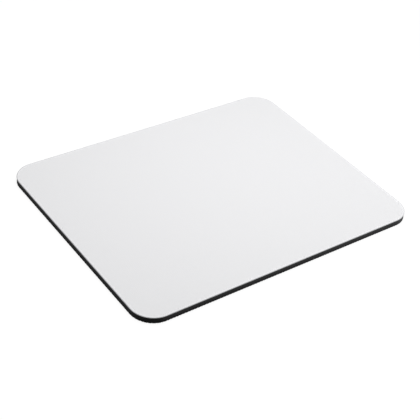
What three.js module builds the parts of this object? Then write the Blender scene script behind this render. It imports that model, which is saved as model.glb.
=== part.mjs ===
// A cloth-faced mouse pad: a white knitted face sheet bonded to a black sponge-rubber base by a film of
// hot-melt adhesive, and cut to a rounded rectangle in one stroke of a steel-rule die.
// Millimetres, +Z up. The origin is the middle of the underside, +X runs along the long side, to the
// user's right, and +Y runs away from the user.
import * as THREE from "three";

// Driving dimensions
const PAD_WIDTH = 250; // long side
const PAD_DEPTH = 200; // short side
const CORNER_RADIUS = 18.4; // bend of the die's blade at each corner
const BASE_THICKNESS = 4.6; // sponge rubber
const FILM_THICKNESS = 0.1; // hot-melt adhesive
const CLOTH_THICKNESS = 0.3; // knitted polyester
const EDGE_ROLL = 0.2; // how far the blade drags the cloth's cut edge over and down
const LARGEST_ROLL = 0.9; // the roll takes at most this share of the cloth's thickness

// How finely the round stretches are faceted. An extruded arc has two facets for each curve segment.
const CORNER_FACETS = 36; // in a quarter turn
const CURVE_SEGMENTS = CORNER_FACETS / 2;
const ROLL_FACETS = 4; // across the rolled edge of the cloth

// Each layer lies on the face of the one below.
const BASE_SEAT = 0;
const FILM_SEAT = BASE_SEAT + BASE_THICKNESS;
const CLOTH_SEAT = FILM_SEAT + FILM_THICKNESS;

// The outline that the die cuts through all three layers: a rectangle with an arc at each corner.
function dieOutline() {
  const right = PAD_WIDTH / 2;
  const back = PAD_DEPTH / 2;
  const arcX = right - CORNER_RADIUS;
  const arcY = back - CORNER_RADIUS;
  const quarter = Math.PI / 2;
  return new THREE.Shape()
    .moveTo(right, -arcY)
    .lineTo(right, arcY)
    .absarc(arcX, arcY, CORNER_RADIUS, 0, quarter)
    .lineTo(-arcX, back)
    .absarc(-arcX, arcY, CORNER_RADIUS, quarter, 2 * quarter)
    .lineTo(-right, -arcY)
    .absarc(-arcX, -arcY, CORNER_RADIUS, 2 * quarter, 3 * quarter)
    .lineTo(arcX, -back)
    .absarc(arcX, -arcY, CORNER_RADIUS, 3 * quarter, 4 * quarter);
}

// A flat layer with square-cut sides, standing on z = 0.
function squareCutLayer(thickness) {
  return new THREE.ExtrudeGeometry(dieOutline(), {
    depth: thickness,
    bevelEnabled: false,
    curveSegments: CURVE_SEGMENTS,
  });
}

// A flat layer whose upper edge is rolled over, standing on z = 0. The extrusion rolls both edges alike,
// so the lower one is pressed flat again, into the plane that the layer is bonded on.
function rolledEdgeLayer(thickness, roll) {
  const drop = Math.min(roll, thickness * LARGEST_ROLL);
  const geometry = new THREE.ExtrudeGeometry(dieOutline(), {
    depth: thickness - drop,
    bevelEnabled: true,
    bevelThickness: drop,
    bevelSize: roll,
    bevelOffset: -roll,
    bevelSegments: ROLL_FACETS,
    curveSegments: CURVE_SEGMENTS,
  });
  const corners = geometry.getAttribute("position");
  for (let i = 0; i < corners.count; i++) {
    corners.setZ(i, Math.max(corners.getZ(i), 0));
  }
  return geometry;
}

function layer(name, geometry, seat, finish) {
  const material = new THREE.MeshStandardMaterial({ metalness: 0, ...finish });
  const mesh = new THREE.Mesh(geometry, material);
  mesh.name = name;
  mesh.position.z = seat;
  return mesh;
}

// Closed-cell sponge rubber, black right through, that grips the desk.
function rubberBase() {
  const blackRubber = { color: 0x262627, roughness: 0.9 };
  return layer("rubber_base", squareCutLayer(BASE_THICKNESS), BASE_SEAT, blackRubber);
}

// Melted once between the rubber and the cloth, and dark where its edge shows.
function adhesiveFilm() {
  const setHotMelt = { color: 0x4a4a4c, roughness: 0.55 };
  return layer("adhesive_film", squareCutLayer(FILM_THICKNESS), FILM_SEAT, setHotMelt);
}

// White polyester knit that the mouse glides on.
function faceCloth() {
  const whiteKnit = { color: 0xebebed, roughness: 0.85 };
  return layer("face_cloth", rolledEdgeLayer(CLOTH_THICKNESS, EDGE_ROLL), CLOTH_SEAT, whiteKnit);
}

const mousePad = new THREE.Group();
mousePad.name = "mouse_pad";
mousePad.add(rubberBase(), adhesiveFilm(), faceCloth());

export default mousePad;
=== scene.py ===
"""A cloth-faced mouse pad: white polyester knit on black sponge rubber, lying on a white studio floor."""

import math

import bmesh
import bpy
from mathutils import Matrix, Vector


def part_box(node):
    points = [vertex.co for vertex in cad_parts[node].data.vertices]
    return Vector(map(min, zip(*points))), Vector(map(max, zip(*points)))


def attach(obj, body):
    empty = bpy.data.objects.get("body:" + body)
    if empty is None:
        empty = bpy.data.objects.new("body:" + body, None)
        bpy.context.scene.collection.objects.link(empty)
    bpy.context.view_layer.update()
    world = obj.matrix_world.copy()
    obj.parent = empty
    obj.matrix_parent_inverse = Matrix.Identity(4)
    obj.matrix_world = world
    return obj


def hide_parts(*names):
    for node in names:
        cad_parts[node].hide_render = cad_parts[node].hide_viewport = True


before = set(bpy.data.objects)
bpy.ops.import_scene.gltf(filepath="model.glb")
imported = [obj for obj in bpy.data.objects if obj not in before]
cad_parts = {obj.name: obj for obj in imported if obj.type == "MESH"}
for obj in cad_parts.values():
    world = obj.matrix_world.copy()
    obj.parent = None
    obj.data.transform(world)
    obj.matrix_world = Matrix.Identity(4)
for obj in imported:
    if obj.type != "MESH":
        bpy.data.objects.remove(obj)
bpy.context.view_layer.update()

MM = 0.001
QUARTER_TURN = math.radians(90)

# The pad's sizes, from the frame. Its underside lies at z = 0.
base_low, base_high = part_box("rubber_base")
cloth_low, cloth_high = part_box("face_cloth")
PAD_WIDTH = cloth_high.x - cloth_low.x
PAD_DEPTH = cloth_high.y - cloth_low.y
BASE_TOP = base_high.z
CLOTH_SEAT = cloth_low.z
CLOTH_TOP = cloth_high.z

# The outline that the die cuts
CORNER_RADIUS = 18.4 * MM
CORNER_FACETS = 36  # in a quarter turn
ARC_X = PAD_WIDTH / 2 - CORNER_RADIUS  # where the corner arcs are centred
ARC_Y = PAD_DEPTH / 2 - CORNER_RADIUS

# The cloth's cut edge, which the die drags over and down
ROLL_WIDTH = 0.6 * MM
ROLL_DROP = 0.2 * MM
ROLL_FACETS = 8
RIM_RING = 1.5 * MM  # flat ring inside the roll, which keeps the shading of the face level
RIM_FADE = 0.2 * MM  # over which one tone of the rim gives way to the next
RIM_PAINTED_LIGHT_AND_SHADE = (  # how far in from the cut each painted tone reaches
    (1.8 * MM, "#EFEFF1"),  # painted highlight along the rim of the face
    (0.4 * MM, "#C0C0C2"),  # painted shade on the rolled edge, which turns away from the light
    (0.02 * MM, "#9A9A9C"),  # painted shade, darkest at the cut itself
)

# The sponge's die-cut wall, dished because the sponge springs back after the cut
WALL_DISH = 0.18 * MM
WALL_RINGS = 8

# The grip pattern pressed into the underside: rows of small pillowed diamonds
DIAMOND_LENGTH = 5.0 * MM
DIAMOND_WIDTH = 3.2 * MM
GROOVE_WIDTH = 0.5 * MM
GROOVE_DEPTH = 0.3 * MM
DIAMOND_CROWN = 0.06 * MM
FOOT_HEIGHT = 0.5 * MM  # where the wall starts, above the cut diamonds

# How the meshes are finished
ON_THE_CUT = 0.0001 * MM  # a corner this near a cut counts as lying on it
MERGED = 0.01 * MM  # corners this near each other become one
SHARP_BEND = math.radians(38)  # an edge that bends more than this is shaded sharp

# The map for the export's textures, in shares of its side
MAP_MARGIN = 0.01
MAP_FACE = 1 - 2 * MAP_MARGIN  # the pad's width on it
MAP_STRIP = 0.035  # height of the strip for each side of the wall
MAP_STRIP_FILL = 0.9  # share of that height that the wall takes
MAP_STRIPS = 0.82  # where the strips start
MAP_SPARE = 0.01  # width of the bonded face, which never shows
STEEP = 0.3  # a face whose normal rises less than this belongs to the wall

# The photograph's view, on a frame 420 pixels square
SENSOR_WIDTH = 36  # millimetres
FOCAL_LENGTH = 90.46  # millimetres
VIEW_AZIMUTH = math.radians(-38.66)
VIEW_ELEVATION = math.radians(37.6)
VIEW_ROLL = math.radians(6.06)
VIEW_DISTANCE = 0.8176
VIEW_TARGET = Vector((-0.0102, -0.0135, 0.0))

# Soft studio light
SKY_LEVEL = 0.5  # how strongly the white surroundings light the pad
SOFTBOXES = (  # place and width in metres, power in watts
    ("overhead_softbox", (0.06, 0.04, 0.5), 0.3, 1.3),
    ("low_front_softbox", (0.6, -0.3, 0.04), 0.08, 4.5),
)
FLOOR_DROP = 0.02 * MM  # keeps the floor just clear of the underside
FLOOR_REACH = 10.0
FLOOR_GLOW = 0.92  # the share of its white that the floor shows in shadow too
FLOOR_SHADOWED = 0.12  # the share that the lamps give, in which the pad's shadow shows


# Shared helpers

def linear(hex_colour):
    """A hex sRGB colour as linear red, green, blue and alpha."""
    channels = [int(hex_colour[i:i + 2], 16) / 255 for i in (1, 3, 5)]
    curve = [c / 12.92 if c <= 0.04045 else ((c + 0.055) / 1.055) ** 2.4 for c in channels]
    return (*curve, 1.0)


def add_node(tree, kind, inputs=None, **settings):
    """Adds a node with its settings, and sets or links its inputs."""
    made = tree.nodes.new(kind)
    for name, value in settings.items():
        setattr(made, name, value)
    for socket, value in (inputs or {}).items():
        if isinstance(value, bpy.types.NodeSocket):
            tree.links.new(value, made.inputs[socket])
        else:
            made.inputs[socket].default_value = value
    return made


def new_material(name):
    """An empty node material and its tree."""
    material = bpy.data.materials.new(name)
    material.use_nodes = True
    material.node_tree.nodes.clear()
    return material, material.node_tree


def new_piece(name, bm, *materials):
    """A finished bmesh as an object at the origin, smooth but for its sharp edges."""
    mesh = bpy.data.meshes.new(name)
    bm.to_mesh(mesh)
    bm.free()
    for material in materials:
        mesh.materials.append(material)
    mesh.shade_smooth()
    mesh.set_sharp_from_angle(angle=SHARP_BEND)
    piece = bpy.data.objects.new(name, mesh)
    bpy.context.scene.collection.objects.link(piece)
    return piece


def die_cut_face(bm, height):
    """One flat face with the die's outline: a rectangle with its corners rounded."""
    place = Matrix.Translation((0, 0, height)) @ Matrix.Diagonal((PAD_WIDTH, PAD_DEPTH, 1, 1))
    bmesh.ops.create_grid(bm, x_segments=1, y_segments=1, size=0.5, matrix=place)
    bmesh.ops.bevel(
        bm, geom=bm.verts[:], offset=CORNER_RADIUS, offset_type="OFFSET", affect="VERTICES",
        segments=CORNER_FACETS, profile=0.5, material=-1,
    )
    return bm.faces[:]


def outward(point):
    """The direction square to the die's outline at a point on it."""
    inner = Vector((max(-ARC_X, min(ARC_X, point.x)), max(-ARC_Y, min(ARC_Y, point.y)), 0))
    return (Vector((point.x, point.y, 0)) - inner).normalized()


def lay_out_for_textures(bm, shown):
    """Maps the face that shows, up (1) or down (-1), over most of a square, and each side on a strip."""
    layer = bm.loops.layers.uv.new("OFBake")
    bm.normal_update()
    low = min(v.co.z for v in bm.verts)
    high = max(v.co.z for v in bm.verts)
    middle = PAD_DEPTH / PAD_WIDTH / 2
    sides = [Vector((1, 0, 0)), Vector((0, 1, 0)), Vector((-1, 0, 0)), Vector((0, -1, 0))]
    for face in bm.faces:
        rise = face.normal.z * shown
        row = max(range(len(sides)), key=lambda k: face.normal.dot(sides[k]))
        along = Vector((-sides[row].y, sides[row].x, 0))
        for loop in face.loops:
            point = loop.vert.co / PAD_WIDTH
            flat = Vector((0.5 + shown * point.x * MAP_FACE, MAP_FACE * (point.y + middle)))
            if rise > STEEP:
                spot = flat + Vector((0, MAP_MARGIN))
            elif rise < -STEEP:
                spot = Vector((1, 1)) - MAP_SPARE * (flat + Vector((1, 1)))
            else:
                climb = MAP_STRIP_FILL * (loop.vert.co.z - low) / (high - low)
                spot = Vector((0.5 + point.dot(along) * MAP_FACE, MAP_STRIPS + MAP_STRIP * (row + climb)))
            loop[layer].uv = spot


# Materials

def depth_inside_cut(tree, place):
    """How far a point lies inside the die's outline, which is exact as far in as the corner radius."""
    arc_centre = (ARC_X, ARC_Y, CLOTH_TOP)
    kind = "ShaderNodeVectorMath"
    mirrored = add_node(tree, kind, {0: place}, operation="ABSOLUTE")
    past_arc = add_node(tree, kind, {0: mirrored.outputs[0], 1: arc_centre}, operation="SUBTRACT")
    outer = add_node(tree, kind, {0: past_arc.outputs[0], 1: (0, 0, 0)}, operation="MAXIMUM")
    reach = add_node(tree, kind, {0: outer.outputs[0]}, operation="LENGTH")
    depth = add_node(
        tree, "ShaderNodeMath", {0: CORNER_RADIUS, 1: reach.outputs["Value"]}, operation="SUBTRACT"
    )
    return depth.outputs[0]


def knit_relief(tree, place):
    """The height of a jersey knit: columns of yarn, crossed by stitches that lean to the middle in a V."""
    wale = 2.0 * MM  # drawn about three times as wide as the usual 0.6 mm, so that it shows
    course = 1.6 * MM  # likewise, from about 0.5 mm
    lean = 0.7  # how many courses a stitch climbs across half a wale
    loop_share = 0.35  # how far the stitches stand out, against the columns
    pull_length = 14 * MM  # the rows wander over about this length
    pull_width = 1.2 * MM  # and by up to this much
    pull = add_node(tree, "ShaderNodeTexNoise", {"Vector": place, "Scale": 1 / pull_length, "Detail": 2.0})
    wander = add_node(
        tree, "ShaderNodeVectorMath", {0: pull.outputs["Color"], 1: [pull_width] * 3, 2: place},
        operation="MULTIPLY_ADD",
    )
    axes = add_node(tree, "ShaderNodeSeparateXYZ", {"Vector": wander.outputs[0]})
    across = add_node(tree, "ShaderNodeMath", {0: axes.outputs["X"], 1: 2 / wale}, operation="MULTIPLY")
    along = add_node(tree, "ShaderNodeMath", {0: axes.outputs["Y"], 1: 1 / course}, operation="MULTIPLY")
    half_wale = add_node(tree, "ShaderNodeMath", {0: across.outputs[0], 1: 1.0}, operation="PINGPONG")
    climb = add_node(
        tree, "ShaderNodeMath", {0: half_wale.outputs[0], 1: lean, 2: along.outputs[0]},
        operation="MULTIPLY_ADD",
    )
    turn = add_node(tree, "ShaderNodeMath", {0: climb.outputs[0], 1: 2 * math.pi}, operation="MULTIPLY")
    loops = add_node(tree, "ShaderNodeMath", {0: turn.outputs[0]}, operation="SINE")
    bend = add_node(tree, "ShaderNodeMath", {0: half_wale.outputs[0], 1: math.pi}, operation="MULTIPLY")
    yarn = add_node(tree, "ShaderNodeMath", {0: bend.outputs[0]}, operation="SINE")
    stitch = add_node(
        tree, "ShaderNodeMath", {0: loops.outputs[0], 1: loop_share, 2: yarn.outputs[0]},
        operation="MULTIPLY_ADD",
    )
    return stitch.outputs[0]


def polyester_jersey_knit():
    """White polyester jersey: matt rows of small stitches with painted shade between them, a painted
    highlight along the rim and painted shade on the rolled edge.
    """
    material, tree = new_material("polyester_jersey_knit")
    fibre_width = 0.9 * MM  # tufts of loose fibre, drawn as coarse as they need to show
    fibre_share = 0.5  # how far they stand out, against the stitches
    relief = 0.03 * MM
    place = add_node(tree, "ShaderNodeTexCoord").outputs["Object"]
    fibre = add_node(tree, "ShaderNodeTexNoise", {"Vector": place, "Scale": 1 / fibre_width, "Detail": 3.0})
    height = add_node(
        tree, "ShaderNodeMath", {0: fibre.outputs["Fac"], 1: fibre_share, 2: knit_relief(tree, place)},
        operation="MULTIPLY_ADD",
    ).outputs[0]
    bump = add_node(tree, "ShaderNodeBump", {"Height": height, "Distance": relief, "Strength": 0.5})
    # painted shade: the low parts of the knit are coloured darker than its raised stitches
    hollow_shade_share = add_node(tree, "ShaderNodeMapRange", {"Value": height, "From Min": -0.2, "From Max": 1.6})
    colour = add_node(
        tree, "ShaderNodeMix",
        {"Factor": hollow_shade_share.outputs["Result"], "A": linear("#E7E7E9"), "B": linear("#EEEEEF")},
        data_type="RGBA",
    )
    depth = depth_inside_cut(tree, place)
    # painted highlight and painted shade along the rim, set by how far a point lies inside the cut
    for width, tone in RIM_PAINTED_LIGHT_AND_SHADE:
        share = add_node(
            tree, "ShaderNodeMapRange",
            {"Value": depth, "From Min": width, "From Max": width + RIM_FADE, "To Min": 1.0, "To Max": 0.0},
        )
        colour = add_node(
            tree, "ShaderNodeMix",
            {"Factor": share.outputs["Result"], "A": colour.outputs["Result"], "B": linear(tone)},
            data_type="RGBA",
        )
    rough = add_node(
        tree, "ShaderNodeMapRange",
        {"Value": fibre.outputs["Fac"], "From Min": 0.3, "From Max": 0.7, "To Min": 0.82, "To Max": 0.95},
    )
    shader = add_node(
        tree, "ShaderNodeBsdfPrincipled",
        {
            "Base Color": colour.outputs["Result"],
            "Roughness": rough.outputs["Result"],
            "Normal": bump.outputs["Normal"],
            "IOR": 1.5,
            "Specular IOR Level": 0.25,
            "Sheen Weight": 0.08,
            "Sheen Roughness": 0.5,
        },
    )
    add_node(tree, "ShaderNodeOutputMaterial", {"Surface": shader.outputs["BSDF"]})
    return material


def cut_sponge_rubber():
    """Closed-cell sponge rubber sliced by the die: dull black, dusty, pitted with opened cells that carry
    painted shade.
    """
    material, tree = new_material("cut_sponge_rubber")
    cell = 1.0 * MM  # drawn about three times as wide as the usual 0.35 mm, so that it shows
    grain = 0.5 * MM  # ragged rubber between the cells
    grain_share = 0.6  # how far the grain stands out, against the depth of the pits
    pit_depth = 0.15 * MM
    shut_share = 0.3  # how much narrower the blade has opened some cells than others, in cells
    place = add_node(tree, "ShaderNodeTexCoord").outputs["Object"]
    cells = add_node(tree, "ShaderNodeTexVoronoi", {"Vector": place, "Scale": 1 / cell})
    ragged = add_node(tree, "ShaderNodeTexNoise", {"Vector": place, "Scale": 1 / grain, "Detail": 2.0})
    from_pit = add_node(
        tree, "ShaderNodeMath", {0: cells.outputs["Color"], 1: shut_share, 2: cells.outputs["Distance"]},
        operation="MULTIPLY_ADD",
    )
    whole = add_node(  # 0 in a pit and 1 on the rubber round it
        tree, "ShaderNodeMapRange", {"Value": from_pit.outputs[0], "From Min": 0.36, "From Max": 0.54}
    )
    height = add_node(
        tree, "ShaderNodeMath", {0: ragged.outputs["Fac"], 1: grain_share, 2: whole.outputs["Result"]},
        operation="MULTIPLY_ADD",
    )
    bump = add_node(
        tree, "ShaderNodeBump", {"Height": height.outputs[0], "Distance": pit_depth, "Strength": 0.7}
    )
    rubber = add_node(
        tree, "ShaderNodeMix",
        {"Factor": ragged.outputs["Fac"], "A": linear("#0E0E0F"), "B": linear("#1D1D1E")},
        data_type="RGBA",
    )
    # painted shade: the pits are coloured darker than the rubber round them
    tone = add_node(
        tree, "ShaderNodeMix",
        {"Factor": whole.outputs["Result"], "A": linear("#070708"), "B": rubber.outputs["Result"]},
        data_type="RGBA",
    )
    rough = add_node(
        tree, "ShaderNodeMapRange", {"Value": whole.outputs["Result"], "To Min": 0.95, "To Max": 0.8}
    )
    shader = add_node(
        tree, "ShaderNodeBsdfPrincipled",
        {
            "Base Color": tone.outputs["Result"],
            "Roughness": rough.outputs["Result"],
            "Normal": bump.outputs["Normal"],
            "IOR": 1.5,
            "Specular IOR Level": 0.03,
            "Sheen Weight": 0.15,
            "Sheen Roughness": 0.4,
        },
    )
    add_node(tree, "ShaderNodeOutputMaterial", {"Surface": shader.outputs["BSDF"]})
    return material


def embossed_rubber_skin():
    """The sponge's moulded skin: black, closed and a little smoother than the cut sides."""
    material, tree = new_material("embossed_rubber_skin")
    grit_width = 0.5 * MM
    grit_height = 0.05 * MM
    patch_width = 18 * MM  # broad, faint patches of tone
    place = add_node(tree, "ShaderNodeTexCoord").outputs["Object"]
    grit = add_node(tree, "ShaderNodeTexNoise", {"Vector": place, "Scale": 1 / grit_width, "Detail": 3.0})
    patch = add_node(tree, "ShaderNodeTexNoise", {"Vector": place, "Scale": 1 / patch_width, "Detail": 3.0})
    bump = add_node(
        tree, "ShaderNodeBump", {"Height": grit.outputs["Fac"], "Distance": grit_height, "Strength": 0.5}
    )
    tone = add_node(
        tree, "ShaderNodeMix",
        {"Factor": patch.outputs["Fac"], "A": linear("#1B1B1C"), "B": linear("#29292A")},
        data_type="RGBA",
    )
    rough = add_node(
        tree, "ShaderNodeMapRange", {"Value": grit.outputs["Fac"], "To Min": 0.62, "To Max": 0.86}
    )
    shader = add_node(
        tree, "ShaderNodeBsdfPrincipled",
        {
            "Base Color": tone.outputs["Result"],
            "Roughness": rough.outputs["Result"],
            "Normal": bump.outputs["Normal"],
            "IOR": 1.52,
            "Specular IOR Level": 0.4,
        },
    )
    add_node(tree, "ShaderNodeOutputMaterial", {"Surface": shader.outputs["BSDF"]})
    return material


def set_hot_melt():
    """Hot-melt film squeezed between cloth and rubber: smooth, grey and slightly cloudy on its cut edge."""
    material, tree = new_material("set_hot_melt")
    cloud_width = 2 * MM
    place = add_node(tree, "ShaderNodeTexCoord").outputs["Object"]
    cloud = add_node(tree, "ShaderNodeTexNoise", {"Vector": place, "Scale": 1 / cloud_width, "Detail": 2.0})
    tone = add_node(
        tree, "ShaderNodeMix",
        {"Factor": cloud.outputs["Fac"], "A": linear("#3C3C3E"), "B": linear("#58585A")},
        data_type="RGBA",
    )
    rough = add_node(
        tree, "ShaderNodeMapRange", {"Value": cloud.outputs["Fac"], "To Min": 0.45, "To Max": 0.65}
    )
    shader = add_node(
        tree, "ShaderNodeBsdfPrincipled",
        {"Base Color": tone.outputs["Result"], "Roughness": rough.outputs["Result"], "IOR": 1.48},
    )
    add_node(tree, "ShaderNodeOutputMaterial", {"Surface": shader.outputs["BSDF"]})
    return material


# Pieces

def make_face_cloth():
    """The knitted sheet, with its cut edge rolled over all the way round."""
    bm = bmesh.new()
    sheet = die_cut_face(bm, CLOTH_SEAT)
    grown = bmesh.ops.extrude_face_region(bm, geom=sheet)["geom"]
    lifted = [v for v in grown if isinstance(v, bmesh.types.BMVert)]
    top = [f for f in grown if isinstance(f, bmesh.types.BMFace)]
    bmesh.ops.translate(bm, verts=lifted, vec=(0, 0, CLOTH_TOP - CLOTH_SEAT - ROLL_DROP))
    bmesh.ops.recalc_face_normals(bm, faces=bm.faces[:])
    for facet in range(ROLL_FACETS):
        before = QUARTER_TURN * facet / ROLL_FACETS
        after = QUARTER_TURN * (facet + 1) / ROLL_FACETS
        bmesh.ops.inset_region(
            bm, faces=top, use_boundary=True, use_even_offset=True,
            thickness=ROLL_WIDTH * (math.cos(before) - math.cos(after)),
            depth=ROLL_DROP * (math.sin(after) - math.sin(before)),
        )
    bmesh.ops.inset_region(bm, faces=top, use_boundary=True, use_even_offset=True, thickness=RIM_RING)
    lay_out_for_textures(bm, 1)
    return new_piece("face_cloth_sheet", bm, polyester_jersey_knit())


def press_diamonds(bm):
    """A field of diamonds, larger than the pad, whose crowns stand on the desk."""
    rows = math.ceil((PAD_WIDTH / DIAMOND_LENGTH + PAD_DEPTH / DIAMOND_WIDTH) / 2) * 2 + 2
    eighth_turn = Matrix.Rotation(QUARTER_TURN / 2, 4, "Z")
    to_diamond = Matrix.Diagonal((DIAMOND_LENGTH / math.sqrt(2), DIAMOND_WIDTH / math.sqrt(2), 1, 1))
    place = Matrix.Translation((0, 0, GROOVE_DEPTH)) @ to_diamond @ eighth_turn
    bmesh.ops.create_grid(bm, x_segments=rows, y_segments=rows, size=rows / 2, matrix=place)
    middles = {f: f.calc_center_median() for f in bm.faces}
    spare = [
        f for f, middle in middles.items()
        if abs(middle.x) > PAD_WIDTH / 2 + DIAMOND_LENGTH or abs(middle.y) > PAD_DEPTH / 2 + DIAMOND_WIDTH
    ]
    bmesh.ops.delete(bm, geom=spare, context="FACES")
    diamonds = bm.faces[:]
    for depth in (DIAMOND_CROWN - GROOVE_DEPTH, -DIAMOND_CROWN):
        bmesh.ops.inset_individual(
            bm, faces=diamonds, thickness=GROOVE_WIDTH / 2, depth=depth, use_even_offset=True
        )


def cut_to_outline(bm):
    """Trims the field along the die's outline, one straight side or corner facet at a time."""
    straight = [(Vector((sign, 0, 0)), PAD_WIDTH / 2) for sign in (1, -1)]
    straight += [(Vector((0, sign, 0)), PAD_DEPTH / 2) for sign in (1, -1)]
    for facing, reach in straight:
        whole = bm.verts[:] + bm.edges[:] + bm.faces[:]
        bmesh.ops.bisect_plane(
            bm, geom=whole, dist=ON_THE_CUT, plane_co=facing * reach, plane_no=facing, clear_outer=True
        )
    reach = CORNER_RADIUS * math.cos(QUARTER_TURN / 2 / CORNER_FACETS)
    for sign_x, sign_y in ((1, 1), (-1, 1), (-1, -1), (1, -1)):
        centre = Vector((sign_x * ARC_X, sign_y * ARC_Y, 0))
        beyond = {v for v in bm.verts if v.co.x * sign_x > ARC_X and v.co.y * sign_y > ARC_Y}
        faces = {f for v in beyond for f in v.link_faces}
        corner = list(faces | {e for f in faces for e in f.edges} | {v for f in faces for v in f.verts})
        for facet in range(CORNER_FACETS):
            angle = QUARTER_TURN * (facet + 0.5) / CORNER_FACETS
            facing = Vector((sign_x * math.cos(angle), sign_y * math.sin(angle), 0))
            corner = bmesh.ops.bisect_plane(
                bm, geom=corner, dist=ON_THE_CUT, plane_co=centre + facing * reach, plane_no=facing,
                clear_outer=True,
            )["geom"]
    bmesh.ops.remove_doubles(bm, verts=bm.verts[:], dist=MERGED)


def raise_wall(bm):
    """Draws the cut edge up to the film in rings, dished at the middle of the wall, and closes the top."""
    rim = [e for e in bm.edges if e.is_boundary]
    dish = 0
    for ring in range(WALL_RINGS + 1):
        climb = ring / WALL_RINGS
        step_in = WALL_DISH * math.sin(math.pi * climb) - dish
        dish += step_in
        grown = bmesh.ops.extrude_edge_only(bm, edges=rim)["geom"]
        rim = [e for e in grown if isinstance(e, bmesh.types.BMEdge)]
        for v in grown:
            if isinstance(v, bmesh.types.BMVert):
                v.co -= outward(v.co) * step_in
                v.co.z = FOOT_HEIGHT + (BASE_TOP - FOOT_HEIGHT) * climb
    bmesh.ops.edgeloop_fill(bm, edges=rim)
    bmesh.ops.recalc_face_normals(bm, faces=bm.faces[:])


def make_rubber_base():
    """The sponge sheet, embossed underneath and cut square through the pattern."""
    bm = bmesh.new()
    press_diamonds(bm)
    cut_to_outline(bm)
    skin = set(bm.faces)
    raise_wall(bm)
    for face in bm.faces:
        face.material_index = 1 if face in skin else 0
    lay_out_for_textures(bm, -1)
    return new_piece("rubber_base_sponge", bm, cut_sponge_rubber(), embossed_rubber_skin())


# Stage, light and camera

def seen_directly(tree):
    """1 for what the camera sees itself, in a reflection or through glass, and 0 for light on its way."""
    path = add_node(tree, "ShaderNodeLightPath")
    seen = add_node(
        tree, "ShaderNodeMath", {0: path.outputs["Is Camera Ray"], 1: path.outputs["Is Glossy Ray"]},
        operation="MAXIMUM",
    )
    shown = add_node(
        tree, "ShaderNodeMath", {0: seen.outputs[0], 1: path.outputs["Is Transmission Ray"]},
        operation="MAXIMUM",
    )
    return shown.outputs[0]


def matt_white_floor():
    """A matt white floor that shows white to the camera, but for the pad's own faint shadow."""
    material, tree = new_material("matt_white_floor")
    shown = seen_directly(tree)
    level = add_node(tree, "ShaderNodeMath", {0: shown, 1: FLOOR_GLOW}, operation="MULTIPLY")
    glow = add_node(tree, "ShaderNodeEmission", {"Color": linear("#FFFFFF"), "Strength": level.outputs[0]})
    paint = add_node(
        tree, "ShaderNodeMix", {"Factor": shown, "A": linear("#E7E7E7"), "B": (*[FLOOR_SHADOWED] * 3, 1)},
        data_type="RGBA",
    )
    matt = add_node(tree, "ShaderNodeBsdfDiffuse", {"Color": paint.outputs["Result"]})
    both = add_node(tree, "ShaderNodeAddShader", {0: glow.outputs[0], 1: matt.outputs[0]})
    add_node(tree, "ShaderNodeOutputMaterial", {"Surface": both.outputs[0]})
    return material


def lay_floor():
    """The studio floor, just under the pad."""
    bm = bmesh.new()
    place = Matrix.Translation((0, 0, -FLOOR_DROP))
    bmesh.ops.create_grid(bm, x_segments=1, y_segments=1, size=FLOOR_REACH, matrix=place)
    new_piece("studio_floor", bm, matt_white_floor())


def white_world():
    """White to the camera, and a dimmer even light on the pad."""
    world = bpy.data.worlds.new("white_studio")
    bpy.context.scene.world = world
    world.use_nodes = True
    tree = world.node_tree
    tree.nodes.clear()
    level = add_node(
        tree, "ShaderNodeMapRange", {"Value": seen_directly(tree), "To Min": SKY_LEVEL, "To Max": 1.0}
    )
    sky = add_node(
        tree, "ShaderNodeBackground", {"Color": linear("#FFFFFF"), "Strength": level.outputs["Result"]}
    )
    add_node(tree, "ShaderNodeOutputWorld", {"Surface": sky.outputs[0]})


def softbox(name, place, width, power):
    """A square area lamp turned towards the pad, which the camera doesn't see."""
    lamp = bpy.data.lights.new(name, "AREA")
    lamp.shape = "SQUARE"
    lamp.size = width
    lamp.energy = power
    holder = bpy.data.objects.new(name, lamp)
    holder.location = place
    holder.rotation_euler = (-Vector(place)).to_track_quat("-Z", "Y").to_euler()
    holder.visible_camera = False
    bpy.context.scene.collection.objects.link(holder)


def photo_camera():
    """The camera where the photograph was taken from."""
    back = Vector((
        math.sin(VIEW_AZIMUTH) * math.cos(VIEW_ELEVATION),
        -math.cos(VIEW_AZIMUTH) * math.cos(VIEW_ELEVATION),
        math.sin(VIEW_ELEVATION),
    ))
    level = Vector((math.cos(VIEW_AZIMUTH), math.sin(VIEW_AZIMUTH), 0))
    upright = back.cross(level)
    right = level * math.cos(VIEW_ROLL) + upright * math.sin(VIEW_ROLL)
    up = upright * math.cos(VIEW_ROLL) - level * math.sin(VIEW_ROLL)
    camera = bpy.data.cameras.new("photo_camera")
    camera.sensor_width = SENSOR_WIDTH
    camera.lens = FOCAL_LENGTH
    holder = bpy.data.objects.new("photo_camera", camera)
    turn = Matrix((right, up, back)).transposed().to_4x4()
    holder.matrix_world = Matrix.Translation(VIEW_TARGET + back * VIEW_DISTANCE) @ turn
    bpy.context.scene.collection.objects.link(holder)
    bpy.context.scene.camera = holder


bpy.context.scene.view_settings.view_transform = "Standard"
photo_camera()
lay_floor()
white_world()
for name, place, width, power in SOFTBOXES:
    softbox(name, place, width, power)

cloth = make_face_cloth()
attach(cloth, "root")
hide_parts("face_cloth")

base = make_rubber_base()
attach(base, "root")
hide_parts("rubber_base")

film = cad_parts["adhesive_film"]
film.data.materials.clear()
film.data.materials.append(set_hot_melt())
